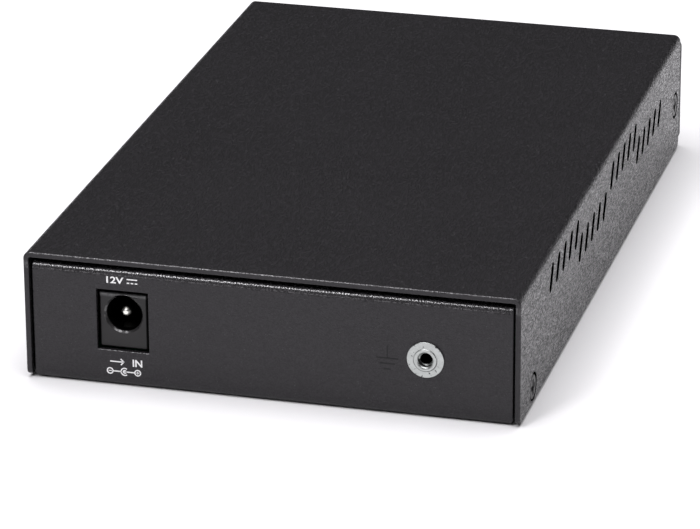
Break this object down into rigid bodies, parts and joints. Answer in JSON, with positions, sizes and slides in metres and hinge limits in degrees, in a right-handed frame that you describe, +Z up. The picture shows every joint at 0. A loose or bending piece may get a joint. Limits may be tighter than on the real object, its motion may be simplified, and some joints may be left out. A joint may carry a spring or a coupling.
{
  "type": "fibre media converter",
  "caption": "Small black steel box that turns copper network signals into light for fibre: power inlet and ground terminal behind, copper and duplex fibre ports in front",
  "frame": {"origin": "on the surface the case stands on, below the middle of the whole object", "axes": "+X to the right seen from the front, where the ports and lamps are; +Y from the front to the rear, where the power inlet is; +Z up"},
  "size_m": [0.088, 0.1412, 0.0236],
  "materials": {
    "case_paint": "matte",
    "bezel_plastic": "matte",
    "black_screw": "satin",
    "terminal_plating": "satin",
    "board_laminate": "gloss",
    "standoff_zinc": "satin",
    "board_screw_zinc": "satin",
    "inlet_plastic": "satin",
    "contact_plating": "satin",
    "port_plastic": "satin",
    "tinned_shell": "satin",
    "gold_contacts": "polished",
    "fibre_plastic": "satin",
    "latch_plastic": "satin",
    "sleeve_ceramic": "gloss",
    "lead_plating": "satin",
    "lamp_lens": "gloss",
    "chip_plastic": "matte",
    "inductor_ferrite": "matte",
    "capacitor_sleeve": "gloss",
    "crystal_can": "polished"
  },
  "bodies": {
    "root": {"top_cover": "case_paint", "base_tray": "case_paint", "front_bezel": "bezel_plastic", "side_screws": "black_screw", "ground_terminal": "terminal_plating", "circuit_board": "board_laminate", "board_standoffs": "standoff_zinc", "board_screws": "board_screw_zinc", "dc_jack_housing": "inlet_plastic", "dc_jack_pin": "contact_plating", "dc_jack_rear_tab": "contact_plating", "dc_jack_spring": "contact_plating", "dc_jack_side_tab": "contact_plating", "rj45_housing": "port_plastic", "rj45_shield": "tinned_shell", "rj45_contacts": "gold_contacts", "fibre_housing": "fibre_plastic", "fibre_latches": "latch_plastic", "fibre_sleeves": "sleeve_ceramic", "fibre_pins": "lead_plating", "status_leds": "lamp_lens", "led_legs": "lead_plating", "converter_chip": "chip_plastic", "network_transformer": "chip_plastic", "power_inductor": "inductor_ferrite", "filter_capacitors": "capacitor_sleeve", "clock_crystal": "crystal_can", "voltage_regulator": "chip_plastic"}
  },
  "joints": []
}
